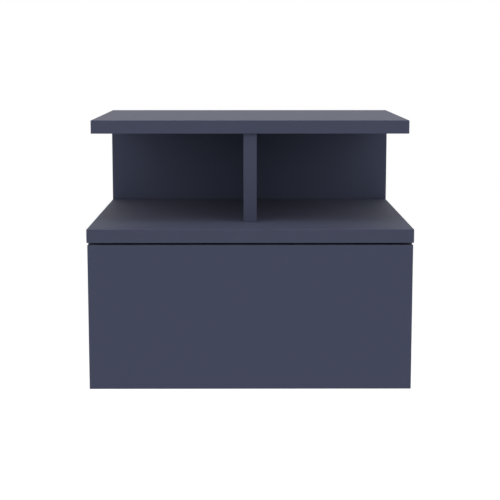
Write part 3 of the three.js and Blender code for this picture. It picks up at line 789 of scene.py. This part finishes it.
def channelOutline(web, tip, halfHeight, lip):        # the upper half, then its mirror image
    wall, bend = rails["wall"], rails["bend"]
    wallIn = math.copysign(wall, tip - web)
    inside = halfHeight - wall
    if lip:
        end = [
            (tip - wallIn, inside, bend), (tip - wallIn, halfHeight - rails["lip"], 0),
            (tip, halfHeight - rails["lip"], 0), (tip, halfHeight, wall + bend),
        ]
    else:
        end = [(tip, inside, 0), (tip, halfHeight, 0)]
    upper = [(web + wallIn, inside, bend), *end, (web, halfHeight, wall + bend)]
    return bentOutline(upper + [(x, -z, radius) for x, z, radius in reversed(upper)])


def makeRail(side, word, kind):
    node = f"{side}_{word}"
    low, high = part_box(node)
    web, tip = (high.x, low.x) if (sideSigns[side] > 0) == kind["lip"] else (low.x, high.x)
    inwards = math.copysign(1, tip - web)
    axis = Vector((0, high.y, middle(node).z))
    shape = bmesh.new()
    outline = channelOutline(web, tip, (high.z - low.z) / 2, kind["lip"])
    addPrism(shape, outline, axis, front * (high.y - low.y))
    zinc = surfaces["zincPlate"]
    piece = shaped(pieceName(node), shape, [zinc])
    start = web - inwards * cutOverrun / 2
    through = right * inwards * (rails["wall"] + cutOverrun)
    cutters = []
    for share in rails["screwShares"]:
        place = runPoint(side, start, share)
        hole = bore(place, place + through, rails[kind["hole"]])
        cutters.append(partial(addTurned, sides=rails["holeSides"], **hole))
    for share in rails["slotShares"]:
        place = runPoint(side, start, share)
        reach = rear * (rails["slotHalfLength"] - rails["slotHalfWidth"])
        slot = slotOutline(place - reach, place + reach, up, rails["slotHalfWidth"])
        cutters.append(partial(addPrism, outline=slot, start=Vector(), along=through))
    combine(piece, cutters, zinc)
    half, bend = kind["stopHalf"], rails["stopBend"]
    if half:        # the stop is bent out of the web at the rear end
        near = web + inwards * rails["wall"] / 2
        far = web + inwards * (rails["wall"] + rails["stopReach"])
        tab = bentOutline([(near, -half, 0), (far, -half, bend), (far, half, bend), (near, half, 0)])
        stop = partial(addPrism, outline=tab, start=axis, along=front * rails["wall"])
        combine(piece, [stop], zinc, "UNION")
    smoothCorners(piece.data)
    evenNormals(piece)
    handOver(piece, "zinc_steel", node)


for side in sideSigns:
    for word, kind in railKinds.items():
        makeRail(side, word, kind)
print("rails made:", len(sideSigns) * len(railKinds))


# Screws

plainScrew = {        # what a screw has where it names nothing else; shares are of its own sizes
    "Head Radius": 0.0034, "Head Height": 0.0012, "Head Rise": 0.0001, "Shank Radius": 0.0018,
    "Recess Length": 0.0036, "Recess Width": 0.0009, "Thread Pitch": 0.0018, "Thread Depth": 0.7,
    "Rim Share": 0.95, "Crown Share": 0.8, "Shank Top Share": 0.9, "Thread Start Share": 1.5,
    "Tip Length Share": 1.8, "Tip Width Share": 0.75, "Finish": surfaces["zincPlate"],
}
screwKinds = {
    "hangerScrews": {
        "Head Radius": 0.0037, "Head Height": 0.0019, "Shank Radius": 0.0017, "Length": 0.014,
        "Recess Depth": 0.0014, "Thread Pitch": 0.0016,
    },
    "cabinetRailScrews": {
        "Head Rise": 0.00022, "Shank Radius": 0.0019, "Length": 0.013, "Recess Length": 0.0034,
        "Recess Depth": 0.0012,
    },
    "drawerRailScrews": {
        "Head Rise": 0.0009, "Length": 0.0105, "Recess Length": 0.0034, "Recess Depth": 0.0013,
        "Thread Pitch": 0.0016,
    },
    "drawerBackScrews": {
        "Head Radius": 0.0036, "Head Height": 0.0026, "Length": 0.035, "Recess Depth": 0.0018,
    },
    "dividerScrew": {
        "Head Radius": 0.005, "Head Height": 0.004, "Shank Radius": 0.00325, "Length": 0.0498,
        "Recess Length": 0.0048, "Recess Width": 0.0013, "Recess Depth": 0.0026, "Thread Pitch": 0.003,
        "Thread Depth": 0.6,
    },
}
screwSeats = {"backInset": 0.014, "dividerSink": 0.0001}


def screwTree():        # the head's top lies at the origin, and the point goes down
    tree = Tree("screw", {**plainScrew, **screwKinds["hangerScrews"]})
    cone = tree.solid("Cone", {
        "Vertices": 40, "Radius Top": "Head Radius", "Radius Bottom": "Shank Radius",
        "Depth": "Head Height",
    })
    sunk = tree.moved(cone["Mesh"], tree.vector(z=tree.times("Head Height", -1.0)))
    halfRise = tree.times("Head Rise", 0.5)
    rim, rimTop = tree.chamfered(sunk, cone["Top"], halfRise, "Rim Share")
    head, _ = tree.chamfered(rim, rimTop, halfRise, "Crown Share")
    recessDepth = tree.times("Recess Depth", 2.0)
    recess = tree.cross("Recess Length", "Recess Width", recessDepth, "Head Rise")
    tip = tree.times("Shank Radius", "Tip Length Share")
    shankTop = tree.times(tree.times("Head Height", "Shank Top Share"), -1.0)
    shankLow = tree.less(tip, "Length")
    shankLength = tree.less(shankTop, shankLow)
    shankPlace = tree.vector(z=tree.plus(shankLow, tree.times(shankLength, 0.5)))
    shank = tree.rod(sides=20, radius="Shank Radius", depth=shankLength, segments=96)["Mesh"]
    hung = tree.moved(shank, shankPlace)
    threadStart = tree.times("Head Height", "Thread Start Share")
    ridged = tree.threaded(hung, 2, "Thread Pitch", "Thread Depth", threadStart)
    point = tree.solid("Cone", {
        "Vertices": 20, "Radius Top": tree.times("Shank Radius", "Tip Width Share"),
        "Radius Bottom": 0.0, "Depth": tip,
    })["Mesh"]
    pointed = tree.moved(point, tree.vector(z=tree.times("Length", -1.0)))
    return tree.end(tree.placed(tree.joined(tree.cut(head, recess), ridged, pointed), "Finish"))


def screwPlaces():
    places = {kind: [] for kind in screwKinds}
    for side, sign in sideSigns.items():
        outward = right * sign
        low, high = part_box(f"{side}_hanger_plate")
        for z in (high.z - hangers["screwInset"], low.z + hangers["screwInset"]):
            place = Vector(((low.x + high.x) / 2, high.y, z))
            places["hangerScrews"].append((place, rear, up))
        panelX = faceX(f"{side}_cabinet_rail", sign) - sign * rails["wall"]
        drawerX = faceX(f"{side}_drawer_rail", -sign) + sign * rails["wall"]
        for share in rails["screwShares"]:
            places["cabinetRailScrews"].append((runPoint(side, panelX, share), -outward, up))
            places["drawerRailScrews"].append((runPoint(side, drawerX, share), outward, up))
        low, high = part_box("drawer_back")
        for z in (low.z + screwSeats["backInset"], high.z - screwSeats["backInset"]):
            place = Vector((faceX(f"drawer_{side}_side", sign), (low.y + high.y) / 2, z))
            places["drawerBackScrews"].append((place, outward, up))
    head = middle(connectingScrew)
    head.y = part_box(connectingScrew)[1].y - screwSeats["dividerSink"]
    places["dividerScrew"].append((head, rear, up))
    return places


screwGroup = screwTree()
seats = screwPlaces()
for name, places in seats.items():
    piece = grow(name, pointMesh(name, places), screwGroup, {**plainScrew, **screwKinds[name]})
    nodes = [connectingScrew] if name == "dividerScrew" else []
    handOver(piece, "zinc_steel", *nodes, body="drawer" if name.startswith("drawer") else "cabinet")
print("screws made:", sum(len(places) for places in seats.values()))


# Ball cages

cageKinds = {        # from the side panel: the strip's tip and the balls' middles
    "outer": {"Tip": 0.008, "Ball At": 0.0055, "Ball Radius": 0.002},
    "inner": {"Tip": 0.00875, "Ball At": 0.00725, "Ball Radius": 0.0016},
}
cageDetail = {
    "Strip": 0.0005, "End Margin": 0.01, "Window Play": 0.00025, "Window Depth": 0.002,
    "Hollow Share": 1.2, "Balls": 6, "Strip Finish": surfaces["rolledStrip"],
    "Ball Finish": surfaces["polishedBall"],
}


def cageTree(values):        # from the side panel, at the origin; Side, 1 or -1, is the way to the drawer
    tree = Tree("ballCage", values)
    rowHeight = tree.less(tree.times("Height", 0.5), "Ball Radius")
    run = tree.less("Length", tree.times("End Margin", 2.0))
    row = tree.solid("Line", {
        "Count": "Balls",
        "Start Location": tree.vector(tree.times("Side", "Ball At"), tree.times(run, -0.5)),
        "Offset": tree.vector(y=tree.maths("DIVIDE", run, tree.less("Balls", 1.0))),
    })["Mesh"]
    rows = tree.joined(*[
        tree.moved(row, tree.vector(z=tree.times(rowHeight, way))) for way in (-1.0, 1.0)
    ])
    windowRadius = tree.plus("Ball Radius", "Window Play")
    window = tree.rod(sides=24, radius=windowRadius, depth="Window Depth")["Mesh"]
    width = tree.less("Tip", "Web")
    height = tree.plus(tree.times(rowHeight, 2.0), "Strip")
    centre = tree.times("Side", tree.plus("Web", tree.times(width, 0.5)))
    outer = tree.moved(tree.block(width, "Length", height), tree.vector(x=centre))
    hollowHeight = tree.less(height, tree.times("Strip", 2.0))
    hollow = tree.block(width, tree.times("Length", "Hollow Share"), hollowHeight)
    hollowPlace = tree.vector(x=tree.plus(centre, tree.times("Side", "Strip")))
    channel = tree.cut(outer, tree.joined(tree.moved(hollow, hollowPlace), tree.repeated(rows, window)))
    ball = tree.solid("UVSphere", {"Segments": 24, "Rings": 14, "Radius": "Ball Radius"})["Mesh"]
    balls = tree.repeated(rows, ball)
    whole = tree.joined(tree.finished(channel, "Strip Finish"), tree.finished(balls, "Ball Finish"))
    return tree.end(tree.moved(whole, "Place"))


cages = {}
for side, sign in sideSigns.items():
    panelX = faceX(f"{side}_side_panel", -sign)
    for word, sizes in cageKinds.items():
        node = f"{side}_{word}_ball_cage"
        low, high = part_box(node)
        cages[node] = {
            **sizes, **cageDetail, "Side": float(-sign), "Web": abs(faceX(node, sign) - panelX),
            "Length": high.y - low.y, "Height": high.z - low.z, "Place": (panelX, *middle(node).yz),
        }
cageGroup = cageTree(cages["left_outer_ball_cage"])
for node, values in cages.items():
    name = pieceName(node)
    piece = grow(name, bpy.data.meshes.new(name), cageGroup, values)
    handOver(piece, "cage_steel", node)
print("ball cages made:", len(cages))


# Hanger plates

def makeHanger(side):
    node = f"{side}_hanger_plate"
    low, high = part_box(node)
    ease, thickness = hangers["edgeEase"], high.y - low.y
    layers = ((0, ease), (ease, 0), (thickness - ease, 0), (thickness, ease))
    shape = bmesh.new()
    addStack(shape, [
        [point + rear * (high.y - depth) for point in plateOutline(side, -drawnIn)]
        for depth, drawnIn in layers
    ])
    piece = shaped(pieceName(node), shape, [surfaces["zincPlate"]])
    mouth = rear * (high.y + cutOverrun)
    entry, slotTop = [centre + mouth for centre in keyholeCentres(side)]
    meeting = math.asin(hangers["slotRadius"] / hangers["entryRadius"])        # half the slot's mouth
    fromAngle, toAngle = math.pi / 2 + meeting, math.pi * 5 / 2 - meeting
    keyhole = [
        *arcPoints(entry, right, up, hangers["entryRadius"], fromAngle, toAngle, steps=40),
        *arcPoints(slotTop, right, up, hangers["slotRadius"], 0, math.pi),
    ]
    through = thickness + 2 * cutOverrun
    sinkDepth = hangers["countersink"] - hangers["screwHole"]
    profile = [
        (0, hangers["countersink"] + cutOverrun), (cutOverrun + sinkDepth, hangers["screwHole"]),
        (through, hangers["screwHole"]),
    ]
    cutters = [partial(addPrism, outline=keyhole, start=Vector(), along=front * through)]
    for z in (high.z - hangers["screwInset"], low.z + hangers["screwInset"]):
        cutters.append(partial(addTurned, start=slotTop + up * z, way=front, profile=profile))
    combine(piece, cutters, surfaces["zincPlate"])
    smoothCorners(piece.data)
    handOver(piece, "zinc_steel", node)


for side in sideSigns:
    makeHanger(side)
print("hanger plates made:", len(sideSigns))


# Dowels

dowelDetail = {
    "Radius": 0.00405, "Length": 0.03, "Flute Depth": 0.00035, "Flute Share": 0.2, "Flute Shift": 0.01,
    "End Chamfer": 0.001, "Chamfer Share": 0.8, "Flutes": 20, "Finish": surfaces["rawBeech"],
}


def dowelTree():        # a rod with three corners to a flute, the first one drawn in
    tree = Tree("flutedDowel", dowelDetail)
    straight = tree.less("Length", tree.times("End Chamfer", 2.0))
    rod = tree.rod(sides=tree.times("Flutes", 3.0), radius="Radius", depth=straight)
    place = tree.position()
    angle = tree.maths("DIVIDE", tree.maths("ARCTAN2", place[1], place[0]), 2 * math.pi)
    turns = tree.times(tree.plus(angle, 1.0), "Flutes")
    withinFlute = tree.maths("FRACT", tree.plus(turns, "Flute Shift"))
    valley = tree.maths("LESS_THAN", withinFlute, "Flute Share")
    depthShare = tree.maths("DIVIDE", "Flute Depth", "Radius")
    shrink = tree.less(1.0, tree.times(valley, depthShare))
    narrowed = [tree.times(place[index], shrink) for index in range(2)]
    fluted = tree.reshaped(rod["Mesh"], *narrowed, place[2])
    topEased, _ = tree.chamfered(fluted, rod["Top"], "End Chamfer", "Chamfer Share")
    eased, _ = tree.chamfered(topEased, rod["Bottom"], "End Chamfer", "Chamfer Share")
    return tree.end(tree.placed(eased, "Finish"))


dowelPlaces = []
for node in dowelNodes:
    start, end = dowelEnds(node)
    way = (end - start).normalized()
    dowelPlaces.append((middle(node), way, rear if abs(way.y) < 0.5 else up))
dowels = grow("dowels", pointMesh("dowels", dowelPlaces), dowelTree(), dowelDetail)
handOver(dowels, "beech", *dowelNodes)
print("dowels made:", len(dowelNodes))


# Bumpers

bumperDetail = {"steps": 6, "edgeRound": 0.0008}


def makeBumper(side):        # a soft disc with a rounded edge, between the side panel and the front
    node = f"{side}_bumper"
    low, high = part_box(node)
    height, radius = high.y - low.y, (high.x - low.x) / 2
    rounding = bumperDetail["edgeRound"]
    profile = [(0, radius)]
    for step in range(bumperDetail["steps"] + 1):
        angle = math.pi / 2 * step / bumperDetail["steps"]
        along, out = rounding * math.sin(angle), rounding * math.cos(angle)
        profile.append((height - rounding + along, radius - rounding + out))
    start = middle(node)
    start.y = high.y
    shape = bmesh.new()
    addTurned(shape, start, front, profile)
    piece = shaped(pieceName(node), shape, [surfaces["softRubber"]])
    smoothCorners(piece.data)
    handOver(piece, "bumper_rubber", node)


for side in sideSigns:
    makeBumper(side)
print("bumpers made:", len(sideSigns))


# Floor, light and camera

studio = {
    "floorDrop": 1.4, "floorHalf": 12.0, "floorColour": (236, 236, 236), "floorRoughness": 0.9,
    "floorGlow": 0.6, "horizonLevel": 1.27, "zenithLevel": 0.08, "lampDistance": 3.0,
}
lamps = {        # degrees round from the camera's side, degrees up, metres wide, watts
    "leftSoftbox": {"round": -55, "rise": 22, "width": 2.5, "watts": 20},
    "rightSoftbox": {"round": 55, "rise": 22, "width": 2.5, "watts": 20},
    "highSoftbox": {"round": 0, "rise": 80, "width": 1.2, "watts": 27},
}
cameraFit = {        # found from the photograph's edges
    "place": (-0.00662, -1.95328, 0.15305), "pitchDown": 7.635, "yaw": -0.223, "lens": 89.06,
    "sensor": 36, "shiftY": -0.07, "clipStart": 0.05, "clipEnd": 60,
}


def shownRays(add):        # 1 for rays that show a thing, 0 for rays that carry its light elsewhere
    rays = add("ShaderNodeLightPath").outputs
    shown = rays["Is Camera Ray"]
    for label in ("Is Glossy Ray", "Is Transmission Ray"):
        shown = add("ShaderNodeMath", {0: shown, 1: rays[label]}, operation="MAXIMUM").outputs[0]
    return shown


def makeFloor():
    half = studio["floorHalf"]
    corners = ((-half, -half), (half, -half), (half, half), (-half, half))
    mesh = bpy.data.meshes.new("floor")
    mesh.from_pydata([(x, y, -studio["floorDrop"]) for x, y in corners], [], [range(4)])
    material, add, shader = newMaterial("paleFloor", {
        "Base Color": paint(*studio["floorColour"]), "Roughness": studio["floorRoughness"],
        "Specular IOR Level": 0.0, "Emission Color": (1, 1, 1, 1),
    })
    glow = add("ShaderNodeMath", {0: shownRays(add), 1: studio["floorGlow"]}, operation="MULTIPLY")
    fill(shader, {"Emission Strength": glow.outputs[0]})
    addObject("floor", mesh, [material])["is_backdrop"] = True


def makeWorld():        # soft light, brightest round the horizon, and plain white behind the object
    world = bpy.data.worlds.new("studioWorld")
    bpy.context.scene.world = world
    world.use_nodes = True
    add = nodeAdder(world.node_tree)
    place = add("ShaderNodeTexCoord").outputs["Generated"]
    light = add("ShaderNodeMapRange", {
        "Value": add("ShaderNodeSeparateXYZ", {0: place}).outputs[2], "To Min": studio["horizonLevel"],
        "To Max": studio["zenithLevel"],
    })
    sockets = {0: shownRays(add), 2: light.outputs["Result"], 3: 1.0}
    level = add("ShaderNodeMix", sockets, data_type="FLOAT").outputs[0]
    fill(world.node_tree.nodes["Background"], {"Color": (1, 1, 1, 1), "Strength": level})


def makeLamps():
    target = (cadLow + cadHigh) / 2
    for name, choices in lamps.items():
        data = bpy.data.lights.new(name, "AREA")
        data.shape = "SQUARE"
        data.size = choices["width"]
        data.energy = choices["watts"]
        lamp = bpy.data.objects.new(name, data)
        rise, angle = math.radians(choices["rise"]), math.radians(choices["round"])
        level = right * math.sin(angle) + front * math.cos(angle)
        way = level * math.cos(rise) + up * math.sin(rise)
        lamp.location = target + way * studio["lampDistance"]
        lamp.rotation_euler = (-way).to_track_quat("-Z", "Y").to_euler()
        bpy.context.scene.collection.objects.link(lamp)


def makeCamera():
    data = bpy.data.cameras.new("camera")
    data.sensor_width = cameraFit["sensor"]
    data.lens = cameraFit["lens"]
    data.shift_y = cameraFit["shiftY"]
    data.clip_start = cameraFit["clipStart"]
    data.clip_end = cameraFit["clipEnd"]
    camera = bpy.data.objects.new("camera", data)
    camera.location = cameraFit["place"]
    pitch, yaw = 90 - cameraFit["pitchDown"], cameraFit["yaw"]
    camera.rotation_euler = (math.radians(pitch), 0, math.radians(yaw))
    bpy.context.scene.collection.objects.link(camera)
    bpy.context.scene.camera = camera


makeFloor()
makeWorld()
makeLamps()
makeCamera()
bpy.context.scene.view_settings.view_transform = "Standard"
print("floor, light and camera set")

bpy.context.view_layer.update()
shownLow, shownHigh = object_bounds()
sizes = {"cad": [list(cadLow), list(cadHigh)], "visual": [list(shownLow), list(shownHigh)]}
